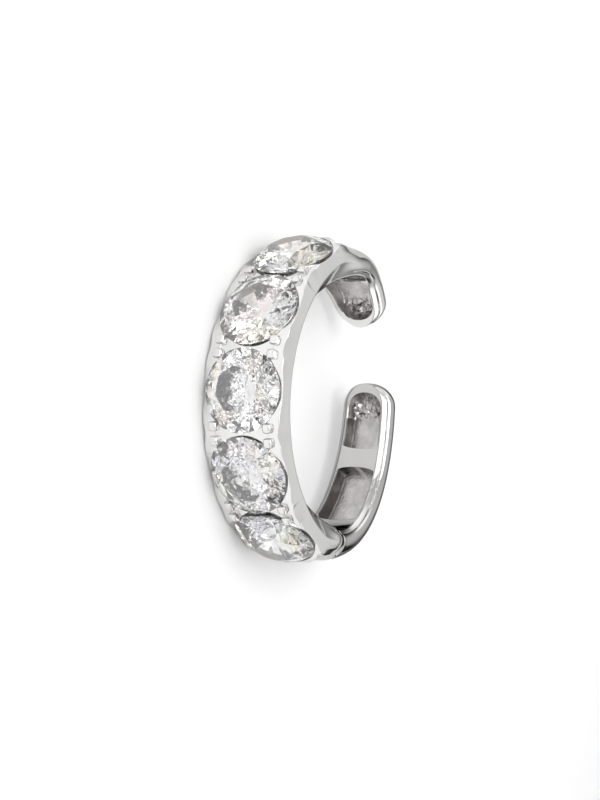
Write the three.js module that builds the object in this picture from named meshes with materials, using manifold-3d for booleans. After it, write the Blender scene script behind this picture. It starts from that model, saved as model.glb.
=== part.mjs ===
// Ear cuff: an oval open band of polished white metal, set with five round stones.
// One end is fixed to the stone-set front and the other is an arm on a small hinge.
// Millimetres. The band's own axis is Z and the middle stone faces -Y.
// An angle along the band starts at that stone and grows towards the hinged arm, on +X.
import Module from 'manifold-3d';
import * as THREE from 'three';
import { mergeVertices } from 'three/addons/utils/BufferGeometryUtils.js';

// Opening of the band
const INNER_RADIUS = 4.88;
const BACK_DEPTH = 3.2;
const FIXED_TIP_ANGLE = 139.6;
const HINGED_TIP_ANGLE = 191.6;

// Stones
const STONE_COUNT = 5;
const STONE_DIAMETER = 3.08;
const STONE_SPACING = 0.12;
const TABLE_DIAMETER = 1.76;
const CROWN_HEIGHT = 0.39;
const GIRDLE_THICKNESS = 0.07;
const PAVILION_DEPTH = 1.24;
const STONE_TURN = 7;

// Seats, side walls and bead prongs
const SEAT_CLEARANCE = 0.05;
const CULET_CLEARANCE = 0.06;
const BACK_HOLE_DIAMETER = 1.5;
const RIM_WIDTH = 0.07;
const RIM_HEIGHT = 0.07;
const END_RIM = 0.3;
const BEAD_DIAMETER = 0.42;
const BEAD_PAIR_SPACING = 0.44;
const BEAD_INSET = 0.28;
const SCALLOP_DEPTH = 0.14;
const SCALLOP_LENGTH = 1.1;
const WALL_DIP = 0.15;

// Band section
const SIDE_SLOPE = 0.62;
const SIDE_FLAT_HEIGHT = 0.62;
const EDGE_BEVEL = 0.1;
const ARM_THICKNESS = 1.22;
const FIXED_ARM_WIDTH = 2.8;
const FIXED_TIP_WIDTH = 2.14;
const HINGED_ARM_WIDTH = 2.5;
const HINGED_TIP_WIDTH = 2.2;
const ARM_SIDE_SLOPE = 0.2;
const DOME_SIDE_SHARE = 0.34;
const DOME_BEFORE = 0.9;
const DOME_AFTER = 0.8;
const NARROW_BEFORE = 0;
const FIXED_NARROW_AFTER = 3.5;
const HINGED_NARROW_AFTER = 1.3;
const STEEPEN_BEFORE = 3.2;
const STEEPEN_AFTER = 0.8;

// Pockets in the inner faces of the arms
const POCKET_DEPTH = 0.52;
const POCKET_RIM = 0.08;
const POCKET_DRAFT = 0.1;

// Hinge
const HINGE_DISTANCE = 1.1;
const SEAM_GAP = 0.08;
const HINGE_CLEARANCE = 0.05;
const PIN_DIAMETER = 0.3;
const KNUCKLE_WALL = 0.1;
const KNUCKLE_RISE = 0.76;
const TONGUE_WIDTH = 0.7;
const CHEEK_WIDTH = 0.4;
const PIN_END_WALL = 0.1;
const OPENING_ANGLE = 30;

// Mesh fineness
const SECTION_STEP = 4.6;
const ROUND_SIDES = 24;
const BEAD_SIDES = 8;
const TIP_STEPS = [0.03, 0.12, 0.28, 0.5, 0.75, 1];

// Each pocket runs between two shares of its arm's angle, from the arm's root to its tip.
// The last two columns are the lengths of its ends' rounding, as shares of its half width.
const POCKETS = [
  { arm: 'fixed', from: 0.335, to: 0.93, roundFrom: 0.7, roundTo: 0.9 },
  { arm: 'hinged', from: 0.23, to: 0.604, roundFrom: 0.3, roundTo: 0.25 },
  { arm: 'hinged', from: 0.697, to: 0.959, roundFrom: 0.2, roundTo: 0.9 },
];

// Sizes that follow
const wasm = await Module();
wasm.setup();
const rad = THREE.MathUtils.degToRad;
const lerp = THREE.MathUtils.lerp;
const smoothstep = THREE.MathUtils.smoothstep;
const stoneRadius = STONE_DIAMETER / 2;
const tableRadius = TABLE_DIAMETER / 2;
const halfGirdle = GIRDLE_THICKNESS / 2;
const girdleHeight = CULET_CLEARANCE + PAVILION_DEPTH + halfGirdle;
const girdleRadius = INNER_RADIUS + girdleHeight;
const stonePitch = 2 * Math.atan((stoneRadius + STONE_SPACING / 2) / (girdleRadius - halfGirdle));
const frontEnd = (stonePitch * STONE_COUNT) / 2 + END_RIM / girdleRadius;
const frontThickness = girdleHeight + RIM_HEIGHT;
const frontHalfWidth = stoneRadius + SEAT_CLEARANCE + RIM_WIDTH;
const fixedTip = -rad(FIXED_TIP_ANGLE);
const hingedTip = rad(HINGED_TIP_ANGLE);
const hingeAngle = frontEnd + HINGE_DISTANCE / INNER_RADIUS;
const bandTop = Math.max(frontThickness, ARM_THICKNESS);

// Inner face of the band: a round front and a flatter back that meet at the sides.
function backShare(angle) {
  return Math.cos(angle) > 0 ? INNER_RADIUS : BACK_DEPTH;
}

function outward(angle) {
  const normal = new THREE.Vector3(Math.sin(angle) / INNER_RADIUS, -Math.cos(angle) / backShare(angle), 0);
  return normal.normalize();
}

function along(angle) {
  return new THREE.Vector3(0, 0, 1).cross(outward(angle));
}

// A point at an angle, a height over the inner face and a distance from the middle plane.
function place(angle, height, side) {
  const inner = new THREE.Vector3(INNER_RADIUS * Math.sin(angle), -backShare(angle) * Math.cos(angle), side);
  return inner.addScaledVector(outward(angle), height);
}

// The angle that a length along the inner face takes up near an angle.
function angleOf(length, angle) {
  return length / Math.hypot(INNER_RADIUS * Math.cos(angle), backShare(angle) * Math.sin(angle));
}

function tipAngle(angle) {
  return angle < 0 ? fixedTip : hingedTip;
}

// Width and thickness of the band at an angle. Past the stones its top first turns into
// a dome, then it narrows to the width of the arms.
function pastFront(angle, before, after) {
  return smoothstep(Math.abs(angle), frontEnd - before / INNER_RADIUS, frontEnd + after / INNER_RADIUS);
}

function domeShare(angle) {
  return pastFront(angle, DOME_BEFORE, DOME_AFTER);
}

function armShare(angle) {
  return pastFront(angle, NARROW_BEFORE, angle < 0 ? FIXED_NARROW_AFTER : HINGED_NARROW_AFTER);
}

function armHalfWidth(angle) {
  const taper = smoothstep(Math.abs(angle), frontEnd, Math.abs(tipAngle(angle)));
  const [root, tip] = angle < 0 ? [FIXED_ARM_WIDTH, FIXED_TIP_WIDTH] : [HINGED_ARM_WIDTH, HINGED_TIP_WIDTH];
  return lerp(root, tip, taper ** 2) / 2;
}

function tipLength(tip) {
  return armHalfWidth(tip) - ARM_SIDE_SLOPE;
}

function outerHalfWidth(angle) {
  return lerp(frontHalfWidth, armHalfWidth(angle), armShare(angle));
}

function innerHalfWidth(angle) {
  const steep = pastFront(angle, STEEPEN_BEFORE, STEEPEN_AFTER);
  return outerHalfWidth(angle) - lerp(SIDE_SLOPE, ARM_SIDE_SLOPE, steep);
}

function thickness(angle) {
  return lerp(frontThickness, ARM_THICKNESS, domeShare(angle));
}

// Half of a band section, from the inner edge over the side to the outer middle.
// Each corner is a blend of a flat-sided front section and a domed arm section.
function halfSection(angle) {
  const inner = innerHalfWidth(angle);
  const outer = outerHalfWidth(angle);
  const top = thickness(angle);
  const share = domeShare(angle);
  const flatFoot = frontThickness - RIM_HEIGHT - SIDE_FLAT_HEIGHT;
  const domeFoot = DOME_SIDE_SHARE * top;
  const dome = (turn) => ({
    height: domeFoot + (top - domeFoot) * Math.sin(rad(turn)),
    side: outer * Math.cos(rad(turn)),
  });
  const front = [
    { height: flatFoot, side: outer },
    { height: top - RIM_HEIGHT / 2, side: outer },
    { height: top, side: outer - RIM_WIDTH / 2 },
    { height: top, side: outer * 0.5 },
    { height: top, side: outer * 0.25 },
  ];
  const arm = [0, 24, 45, 62, 77].map(dome);
  const corners = front.map((corner, i) => ({
    height: lerp(corner.height, arm[i].height, share),
    side: lerp(corner.side, arm[i].side, share),
  }));
  return [
    { height: 0, side: inner - EDGE_BEVEL },
    { height: EDGE_BEVEL, side: inner },
    ...corners,
  ];
}

// A whole section in space. The two shares make it narrower and thinner towards a tip.
function section(angle, widthShare = 1, heightShare = 1) {
  const half = halfSection(angle);
  const point = (corner, sign) => place(angle, corner.height * heightShare, sign * corner.side * widthShare);
  const right = half.map((corner) => point(corner, 1));
  const left = half.map((corner) => point(corner, -1)).reverse();
  return [...right, place(angle, thickness(angle) * heightShare, 0), ...left];
}

// A closed body through a row of sections with as many points each
function loft(sections) {
  const count = sections[0].length;
  const last = (sections.length - 1) * count;
  const index = [];
  for (let i = 0; i < last; i += count) {
    for (let j = 0; j < count; j += 1) {
      const next = (j + 1) % count;
      index.push(i + j, i + next, i + count + next, i + j, i + count + next, i + count + j);
    }
  }
  for (let j = 1; j < count - 1; j += 1) {
    index.push(0, j + 1, j, last, last + j, last + j + 1);
  }
  const geometry = new THREE.BufferGeometry().setFromPoints(sections.flat());
  geometry.setIndex(index);
  return geometry;
}

function stretch(from, to) {
  const steps = Math.max(1, Math.ceil(Math.abs(to - from) / rad(SECTION_STEP)));
  return Array.from({ length: steps + 1 }, (unused, i) => lerp(from, to, i / steps));
}

// Sections that close to a rounded tip, listed from the tip inwards
function tipSections(tip) {
  const inwards = tip < 0 ? 1 : -1;
  return TIP_STEPS.slice(0, -1).map((share) => {
    const angle = tip + inwards * angleOf(share * tipLength(tip), tip);
    const round = Math.sqrt(1 - (1 - share) ** 2);
    return section(angle, round, round ** 0.7);
  });
}

function tipRoot(tip) {
  const inwards = tip < 0 ? 1 : -1;
  return tip + inwards * angleOf(tipLength(tip), tip);
}

function toSolid(geometry) {
  const bare = geometry.clone();
  bare.deleteAttribute('normal');
  bare.deleteAttribute('uv');
  const merged = mergeVertices(bare, 1e-5);
  return new wasm.Manifold(new wasm.Mesh({
    numProp: 3,
    vertProperties: new Float32Array(merged.attributes.position.array),
    triVerts: new Uint32Array(merged.index.array),
  }));
}

function toGeometry(solid) {
  const mesh = solid.getMesh();
  const geometry = new THREE.BufferGeometry();
  geometry.setAttribute('position', new THREE.BufferAttribute(mesh.vertProperties, 3));
  geometry.setIndex(new THREE.BufferAttribute(mesh.triVerts, 1));
  geometry.computeVertexNormals();
  return geometry;
}

// A frame on the band: X along it, Y across it and Z outwards, at an angle and a height.
function stand(angle, height) {
  const frame = new THREE.Matrix4().makeBasis(along(angle), new THREE.Vector3(0, 0, 1), outward(angle));
  return frame.setPosition(place(angle, height, 0));
}

// A cylinder across the band, on the hinge axis
function acrossHinge(radius, from, to) {
  const geometry = new THREE.CylinderGeometry(radius, radius, to - from, ROUND_SIDES);
  geometry.rotateX(Math.PI / 2);
  const centre = hingeCentre();
  geometry.translate(centre.x, centre.y, (from + to) / 2);
  return geometry;
}

function hingeHeight() {
  return knuckleRadius() + (thickness(hingeAngle) - 2 * knuckleRadius()) * KNUCKLE_RISE;
}

function knuckleRadius() {
  return PIN_DIAMETER / 2 + HINGE_CLEARANCE + KNUCKLE_WALL;
}

function hingeCentre() {
  return place(hingeAngle, hingeHeight(), 0);
}

// Stones: a table, stars, bezels and upper halves over a girdle, then lower halves and mains
function brilliant() {
  const eighth = rad(45);
  const ring = (count, radius, height, turn) => Array.from({ length: count }, (unused, i) => {
    const angle = turn + (i * rad(360)) / count;
    return new THREE.Vector3(radius * Math.cos(angle), radius * Math.sin(angle), height);
  });
  const bezelRadius = lerp(tableRadius, stoneRadius, 0.52);
  const bezelDrop = (stoneRadius - bezelRadius * Math.cos(eighth / 2)) / (stoneRadius - tableRadius);
  const mainRadius = stoneRadius * 0.24;
  const mainDrop = 1 - (mainRadius * Math.cos(eighth / 2)) / stoneRadius;
  const table = ring(8, tableRadius, halfGirdle + CROWN_HEIGHT, 0);
  const bezel = ring(8, bezelRadius, halfGirdle + CROWN_HEIGHT * bezelDrop, eighth / 2);
  const upper = ring(16, stoneRadius, halfGirdle, 0);
  const lower = ring(16, stoneRadius, -halfGirdle, 0);
  const main = ring(8, mainRadius, -halfGirdle - PAVILION_DEPTH * mainDrop, eighth / 2);
  const culet = new THREE.Vector3(0, 0, -halfGirdle - PAVILION_DEPTH);
  const corners = [];
  const face = (...points) => {
    for (let i = 1; i < points.length - 1; i += 1) {
      corners.push(points[0], points[i], points[i + 1]);
    }
  };
  face(...table);
  for (let i = 0; i < 8; i += 1) {
    const next = (i + 1) % 8;
    const before = (i + 7) % 8;
    const mid = 2 * i + 1;
    const far = (2 * i + 2) % 16;
    face(table[i], bezel[i], table[next]);
    face(table[i], bezel[before], upper[2 * i], bezel[i]);
    face(bezel[i], upper[2 * i], upper[mid]);
    face(bezel[i], upper[mid], upper[far]);
    face(upper[2 * i], lower[2 * i], lower[mid], upper[mid]);
    face(upper[mid], lower[mid], lower[far], upper[far]);
    face(main[i], lower[mid], lower[2 * i]);
    face(main[i], lower[far], lower[mid]);
    face(culet, main[i], lower[2 * i], main[before]);
  }
  return mergeVertices(new THREE.BufferGeometry().setFromPoints(corners), 1e-5);
}

function stoneAngle(i) {
  return (i - (STONE_COUNT - 1) / 2) * stonePitch;
}

// The room that a stone takes in the metal, with its clearance, and the open hole behind it
function seatCutters(angle) {
  const wide = stoneRadius + SEAT_CLEARANCE;
  const foot = halfGirdle + SEAT_CLEARANCE;
  const wall = (stoneRadius / PAVILION_DEPTH) * SEAT_CLEARANCE;
  const room = new THREE.LatheGeometry([
    new THREE.Vector2(0, -foot - PAVILION_DEPTH - CULET_CLEARANCE),
    new THREE.Vector2(wall, -foot - PAVILION_DEPTH - CULET_CLEARANCE),
    new THREE.Vector2(wide, -foot),
    new THREE.Vector2(wide, foot),
    new THREE.Vector2(tableRadius + SEAT_CLEARANCE, foot + CROWN_HEIGHT),
    new THREE.Vector2(tableRadius + SEAT_CLEARANCE, foot + CROWN_HEIGHT + stoneRadius),
    new THREE.Vector2(0, foot + CROWN_HEIGHT + stoneRadius),
  ], ROUND_SIDES * 2);
  room.rotateX(Math.PI / 2);
  room.applyMatrix4(stand(angle, girdleHeight));
  const holeRadius = BACK_HOLE_DIAMETER / 2;
  const hole = new THREE.CylinderGeometry(holeRadius, holeRadius, girdleHeight * 2, ROUND_SIDES);
  hole.rotateX(Math.PI / 2);
  hole.applyMatrix4(stand(angle, 0));
  return [toSolid(room), toSolid(hole)];
}

// A shallow hollow in each side wall between two stones, deepest at the top
function scallopCutters(angle) {
  const radius = ((SCALLOP_LENGTH / 2) ** 2 + SCALLOP_DEPTH ** 2) / (2 * SCALLOP_DEPTH);
  const lean = Math.atan(SCALLOP_DEPTH / SIDE_FLAT_HEIGHT);
  return [-1, 1].map((sign) => {
    const cutter = new THREE.CylinderGeometry(radius, radius, SIDE_FLAT_HEIGHT * 2, ROUND_SIDES * 2);
    cutter.rotateX(Math.PI / 2);
    cutter.rotateX(sign * lean);
    cutter.translate(0, sign * (frontHalfWidth - SCALLOP_DEPTH + radius / Math.cos(lean)), RIM_HEIGHT);
    cutter.applyMatrix4(stand(angle, girdleHeight));
    return toSolid(cutter);
  });
}

// A long shallow dip in both side walls beside a stone, which bares its edge
function dipCutter(angle) {
  const reach = stoneRadius - BEAD_PAIR_SPACING;
  const radius = (reach ** 2 + WALL_DIP ** 2) / (2 * WALL_DIP);
  const cutter = new THREE.CylinderGeometry(radius, radius, frontHalfWidth * 3, ROUND_SIDES * 4);
  cutter.translate(0, 0, RIM_HEIGHT - WALL_DIP + radius);
  cutter.applyMatrix4(stand(angle, girdleHeight));
  return toSolid(cutter);
}

// The two bead prongs on each side of the gap between two stones
function beads(angle) {
  const radius = BEAD_DIAMETER / 2;
  const across = frontHalfWidth - radius - BEAD_INSET;
  const spots = [-1, 1].flatMap((side) => [-1, 1].map((end) => ({ side, end })));
  return spots.map(({ side, end }) => {
    const bead = new THREE.SphereGeometry(radius, BEAD_SIDES, BEAD_SIDES / 2 + 1);
    bead.rotateX(Math.PI / 2);
    bead.translate((end * BEAD_PAIR_SPACING) / 2, side * across, RIM_HEIGHT + radius / 3);
    bead.applyMatrix4(stand(angle, girdleHeight));
    return toSolid(bead);
  });
}

// A pocket with rounded ends, sunk into the inner face of an arm
function pocketCutter({ arm, from, to, roundFrom, roundTo }) {
  const root = arm === 'fixed' ? -frontEnd : hingeAngle;
  const tip = arm === 'fixed' ? fixedTip : hingedTip;
  const start = lerp(root, tip, from);
  const end = lerp(root, tip, to);
  const direction = Math.sign(end - start);
  const width = (angle) => innerHalfWidth(angle) - EDGE_BEVEL - POCKET_RIM;
  const ring = (angle, share) => {
    const side = width(angle) * share;
    const reach = POCKET_DEPTH * 2;
    return [
      place(angle, -reach, side),
      place(angle, POCKET_DEPTH, side * (1 - POCKET_DRAFT)),
      place(angle, POCKET_DEPTH, -side * (1 - POCKET_DRAFT)),
      place(angle, -reach, -side),
    ];
  };
  const roundEnd = (angle, inwards, length) => TIP_STEPS.slice(0, -1).map((share) => ring(
    angle + inwards * angleOf(share * width(angle) * length, angle),
    Math.sqrt(1 - (1 - share) ** 2),
  ));
  const startRoot = start + direction * angleOf(width(start) * roundFrom, start);
  const endRoot = end - direction * angleOf(width(end) * roundTo, end);
  const rings = [
    ...roundEnd(start, direction, roundFrom),
    ...stretch(startRoot, endRoot).map((angle) => ring(angle, 1)),
    ...roundEnd(end, -direction, roundTo).reverse(),
  ];
  return toSolid(loft(direction > 0 ? rings : rings.reverse()));
}

function pocketsOf(arm) {
  return POCKETS.filter((pocket) => pocket.arm === arm).map(pocketCutter);
}

// Cheeks of the hinge, cut back to the outer shape of the band around the seam
function hingePart(radius, from, to) {
  const around = angleOf(knuckleRadius() * 2, hingeAngle);
  const sleeve = toSolid(loft(stretch(hingeAngle - around, hingeAngle + around).map((angle) => section(angle))));
  return toSolid(acrossHinge(radius, from, to)).intersect(sleeve);
}

function hingeCut(radius, from, to) {
  return toSolid(acrossHinge(radius, from, to));
}

// Room above the hinge axis for the arm's shoulders to turn into
function shoulderRelief() {
  const reach = bandTop * 2;
  const outline = new THREE.Shape([
    new THREE.Vector2(-reach, -HINGE_CLEARANCE),
    new THREE.Vector2(0, -HINGE_CLEARANCE),
    new THREE.Vector2(reach * Math.tan(rad(OPENING_ANGLE)), reach),
    new THREE.Vector2(-reach, reach),
  ]);
  const geometry = new THREE.ExtrudeGeometry(outline, { depth: frontHalfWidth * 4, bevelEnabled: false });
  geometry.translate(0, 0, -frontHalfWidth * 2);
  geometry.rotateX(Math.PI / 2);
  geometry.applyMatrix4(stand(hingeAngle, hingeHeight()));
  return toSolid(geometry);
}

function frontBand() {
  const seam = hingeAngle - angleOf(SEAM_GAP / 2, hingeAngle);
  const marks = [tipRoot(fixedTip), -frontEnd, frontEnd, seam];
  const run = marks.slice(1).flatMap((mark, i) => stretch(marks[i], mark).slice(i === 0 ? 0 : 1));
  let metal = toSolid(loft([...tipSections(fixedTip), ...run.map((angle) => section(angle))]));
  for (let i = 1; i < STONE_COUNT; i += 1) {
    const gap = (stoneAngle(i - 1) + stoneAngle(i)) / 2;
    scallopCutters(gap).forEach((cutter) => { metal = metal.subtract(cutter); });
    beads(gap).forEach((bead) => { metal = metal.add(bead); });
  }
  for (let i = 0; i < STONE_COUNT; i += 1) {
    metal = metal.subtract(dipCutter(stoneAngle(i)));
    seatCutters(stoneAngle(i)).forEach((cutter) => { metal = metal.subtract(cutter); });
  }
  pocketsOf('fixed').forEach((cutter) => { metal = metal.subtract(cutter); });
  const inner = TONGUE_WIDTH / 2 + HINGE_CLEARANCE;
  const outer = inner + CHEEK_WIDTH;
  metal = metal.subtract(hingeCut(knuckleRadius() + HINGE_CLEARANCE, -inner, inner));
  metal = metal.add(hingePart(knuckleRadius(), inner, outer)).add(hingePart(knuckleRadius(), -outer, -inner));
  const holeEnd = outer - PIN_END_WALL + HINGE_CLEARANCE;
  return metal.subtract(hingeCut(PIN_DIAMETER / 2 + HINGE_CLEARANCE, -holeEnd, holeEnd));
}

function hingedArm() {
  const seam = hingeAngle + angleOf(SEAM_GAP / 2, hingeAngle);
  const run = stretch(seam, tipRoot(hingedTip)).map((angle) => section(angle));
  let metal = toSolid(loft([...run, ...tipSections(hingedTip).reverse()]));
  metal = metal.subtract(shoulderRelief());
  const inner = TONGUE_WIDTH / 2;
  const outer = inner + CHEEK_WIDTH + 2 * HINGE_CLEARANCE;
  metal = metal.subtract(hingeCut(knuckleRadius() + HINGE_CLEARANCE, inner, outer));
  metal = metal.subtract(hingeCut(knuckleRadius() + HINGE_CLEARANCE, -outer, -inner));
  metal = metal.add(hingePart(knuckleRadius(), -inner, inner));
  pocketsOf('hinged').forEach((cutter) => { metal = metal.subtract(cutter); });
  return metal.subtract(hingeCut(PIN_DIAMETER / 2 + HINGE_CLEARANCE, -inner * 2, inner * 2));
}

function hingePin() {
  const end = TONGUE_WIDTH / 2 + HINGE_CLEARANCE + CHEEK_WIDTH - PIN_END_WALL;
  return acrossHinge(PIN_DIAMETER / 2, -end, end);
}

// Colours and finish
const whiteMetal = { color: 0xd6d5d1, roughness: 0.1, metalness: 1 };
const clearStone = { color: 0xf4f4f6, roughness: 0.02, metalness: 0 };

function named(name, geometry, finish) {
  const mesh = new THREE.Mesh(geometry, new THREE.MeshStandardMaterial(finish));
  mesh.name = name;
  return mesh;
}

const cuff = new THREE.Group();
cuff.add(named('front_band', toGeometry(frontBand()), whiteMetal));
cuff.add(named('hinged_arm', toGeometry(hingedArm()), whiteMetal));
cuff.add(named('hinge_pin', hingePin(), whiteMetal));
for (let i = 0; i < STONE_COUNT; i += 1) {
  const stone = named(`stone_${i + 1}`, brilliant(), clearStone);
  stone.applyMatrix4(stand(stoneAngle(i), girdleHeight));
  stone.rotateZ(rad(STONE_TURN * i));
  cuff.add(stone);
}

// The cuff lies on its side, with the middle of its footprint at the origin.
const bounds = new THREE.Box3().setFromObject(cuff, true);
const middle = bounds.getCenter(new THREE.Vector3());
cuff.position.set(-middle.x, -middle.y, -bounds.min.z);

export default cuff;
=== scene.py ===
import math

import bmesh
import bpy
import numpy as np
from mathutils import Matrix, Vector, noise


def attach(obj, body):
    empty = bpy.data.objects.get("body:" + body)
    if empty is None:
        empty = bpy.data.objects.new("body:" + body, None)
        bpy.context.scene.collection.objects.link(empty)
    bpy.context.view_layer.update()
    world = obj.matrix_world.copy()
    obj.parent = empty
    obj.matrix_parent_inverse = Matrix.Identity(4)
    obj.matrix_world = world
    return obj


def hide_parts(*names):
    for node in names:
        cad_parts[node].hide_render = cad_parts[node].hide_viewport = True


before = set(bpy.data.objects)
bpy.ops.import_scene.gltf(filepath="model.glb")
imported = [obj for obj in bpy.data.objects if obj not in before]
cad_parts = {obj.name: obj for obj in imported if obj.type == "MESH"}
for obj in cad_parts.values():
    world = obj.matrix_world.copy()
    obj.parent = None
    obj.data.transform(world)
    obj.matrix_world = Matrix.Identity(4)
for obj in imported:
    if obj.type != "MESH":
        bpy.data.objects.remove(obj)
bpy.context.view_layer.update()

MM = 0.001
RING_CENTRE = np.array([-0.0175, 1.1102, 1.66])

# Sizes of the band, as in the part's source
INNER_RADIUS = 4.88
BACK_DEPTH = 3.2
FIXED_TIP = math.radians(-139.6)
HINGED_TIP = math.radians(191.6)
STONE_COUNT = 5
STONE_RADIUS = 1.54
STONE_SPACING = 0.12
TABLE_RADIUS = 0.88
CROWN_HEIGHT = 0.39
HALF_GIRDLE = 0.035
PAVILION_DEPTH = 1.24
CULET_CLEARANCE = 0.06
SEAT_CLEARANCE = 0.05
BACK_HOLE_RADIUS = 0.75
RIM_WIDTH = 0.07
RIM_HEIGHT = 0.07
END_RIM = 0.3
SCALLOP_DEPTH = 0.14
SCALLOP_LENGTH = 1.1
WALL_DIP = 0.15
SIDE_SLOPE = 0.62
SIDE_FLAT_HEIGHT = 0.62
EDGE_BEVEL = 0.1
BORE_FLAT = 0.16
ARM_THICKNESS = 1.22
FIXED_ARM_WIDTH = 2.8
FIXED_TIP_WIDTH = 2.14
HINGED_ARM_WIDTH = 2.5
HINGED_TIP_WIDTH = 2.2
ARM_SIDE_SLOPE = 0.2
DOME_SIDE_SHARE = 0.34
DOME_BEFORE = 0.9
DOME_AFTER = 0.8
NARROW_BEFORE = 0.0
FIXED_NARROW_AFTER = 3.5
HINGED_NARROW_AFTER = 1.3
STEEPEN_BEFORE = 3.2
STEEPEN_AFTER = 0.8
POCKET_DEPTH = 0.52
POCKET_RIM = 0.08
POCKET_DRAFT = 0.1
HINGE_DISTANCE = 1.1
SEAM_GAP = 0.08
HINGE_CLEARANCE = 0.05
PIN_RADIUS = 0.15
KNUCKLE_RADIUS = 0.3
KNUCKLE_RISE = 0.76
TONGUE_WIDTH = 0.7
CHEEK_WIDTH = 0.4
PIN_END_WALL = 0.1
OPENING_ANGLE = math.radians(30)

# Fine shapes that only the looks have
SECTION_STEP = math.radians(1.4)
CORNER_STEPS = 4
WALL_BOW = 0.15
WALL_SHARES = (0.15, 0.3, 0.45, 0.6, 0.75, 0.9)
EDGE_SOFTNESS = 0.05
RIM_LEAN_HEIGHT = 0.3
RIM_LEAN = 0.045
TIP_TURNS = [math.radians(t) for t in (3, 7, 12, 18, 25, 32, 40, 48, 56, 64, 73, 82)]
TIP_FULLNESS = 0.7
# The edge at the seam: how far in from the cut, and the share by which the band is smaller there
SEAM_EDGE = ((0, 0.022), (0.008, 0.009), (0.022, 0.002))
SEAM_EDGE_END = 0.05
SEAT_FIT = 0.012
BACK_HOLE_FLARE = 0.04
BEAD_RADIUS = 0.18
BEAD_ALONG = 0.27
BEAD_SIDE = 1.13
BEAD_TOP = 0.25
BEAD_FOOT = -0.3
BEAD_DOME = 0.11
BEAD_DOME_STEPS = 10
BEAD_SPREAD = 1.1
BEAD_SIDES = 32
BEAD_SQUARENESS = 0.5
# Half length, half width and height of the valleys' openings and floors
VALLEY_TOP = (0.5, 1.3, 0.5)
VALLEY_FLOOR = (0.3, 1.1, 0.045)
COLLAR_WIDTH = 0.17
COLLAR_TOP = 0.08
COLLAR_EDGE = 0.3
COLLAR_ROOT = 0.5
COLLAR_REACH = 6.11
ROUND_SIDES = 96
SCALLOP_SIDES = 192
DIP_SIDES = 384
POCKET_CELL = 0.05
POCKET_CHAMFER = 0.03
POCKET_FLOOR_CELLS = 24
POCKET_FLOOR_EDGE = 0.94
POCKET_WALL_HEIGHTS = (-1.0, -0.3, 0.0, POCKET_CHAMFER, 0.1, 0.17, 0.24, 0.31, 0.38, 0.44, 0.49)
POCKET_END_TURNS = [math.radians(t) for t in (8, 16, 24, 33, 42, 52, 62, 72, 82)]
CAST_GRAIN = 0.14
CAST_RELIEF = 0.08
CAST_SQUEEZE = 0.06
CAST_HEIGHTS = (0.02, 0.12)
CAST_FADE_FROM = 0.6
CAST_FADE_PAST = 0.02
SMOOTH_WALL_BELOW = 0.1
RELIEF_HALF_WIDTH = 4

# The stones' facets, as shares of the stone's radius, and a turn from each stone to the next
BEZEL_SHARE = 0.52
MAIN_SHARE = 0.22
GIRDLE_SIDES = 128
STONE_TURN = math.radians(7)
# Each facet takes one of these tints, painted fire standing in for the colours the stones split from the
# light
PAINTED_FIRE = [(1, 1, 1), (1, 1, 1), (1, 1, 1), (0.95, 1, 0.96), (0.92, 0.92, 1), (1, 0.9, 0.86), (1, 0.97, 0.82)]
# Angles over which two faces meet in a sharp edge, in degrees
METAL_SHARP = 32
STONE_SHARP = 0.5

# Each pocket runs between two shares of its arm's angle. Its ends round over shares of its half
# width, and the cast grain reaches in from each end by a share of its length.
POCKETS = {
    "fixed": [dict(start=0.335, end=0.93, round_start=0.7, round_end=0.9, grain=(0.45, 0.3))],
    "hinged": [
        dict(start=0.23, end=0.604, round_start=0.3, round_end=0.25, grain=(0.12, 0.0)),
        dict(start=0.697, end=0.959, round_start=0.2, round_end=0.9, grain=(0.0, 0.5)),
    ],
}

girdle_height = CULET_CLEARANCE + PAVILION_DEPTH + HALF_GIRDLE
girdle_radius = INNER_RADIUS + girdle_height
stone_pitch = 2 * math.atan((STONE_RADIUS + STONE_SPACING / 2) / (girdle_radius - HALF_GIRDLE))
front_end = stone_pitch * STONE_COUNT / 2 + END_RIM / girdle_radius
front_thickness = girdle_height + RIM_HEIGHT
front_half_width = STONE_RADIUS + SEAT_CLEARANCE + RIM_WIDTH
hinge_angle = front_end + HINGE_DISTANCE / INNER_RADIUS


def mix(a, b, share):
    return a + (b - a) * share


def smooth(value, low, high):
    t = min(1.0, max(0.0, (value - low) / (high - low)))
    return t * t * (3 - 2 * t)


# The inner face: a round front and a flatter back that meet at the sides
def back_share(angle):
    return INNER_RADIUS if math.cos(angle) > 0 else BACK_DEPTH


def outward(angle):
    normal = np.array([math.sin(angle) / INNER_RADIUS, -math.cos(angle) / back_share(angle), 0.0])
    return normal / np.linalg.norm(normal)


def place(angle, height, side):
    inner = np.array([INNER_RADIUS * math.sin(angle), -back_share(angle) * math.cos(angle), side])
    return inner + outward(angle) * height


def angle_of(length, angle):
    return length / math.hypot(INNER_RADIUS * math.cos(angle), back_share(angle) * math.sin(angle))


def stand(angle, height):
    """Matrix of a frame on the band: X along it, Y across it and Z outwards."""
    out = outward(angle)
    along = np.cross([0, 0, 1], out)
    columns = np.column_stack([along, [0, 0, 1], out, place(angle, height, 0)])
    return Matrix([*columns.tolist(), [0, 0, 0, 1]])


def past_front(angle, before, after):
    return smooth(abs(angle), front_end - before / INNER_RADIUS, front_end + after / INNER_RADIUS)


def arm_share(angle):
    return past_front(angle, NARROW_BEFORE, FIXED_NARROW_AFTER if angle < 0 else HINGED_NARROW_AFTER)


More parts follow.
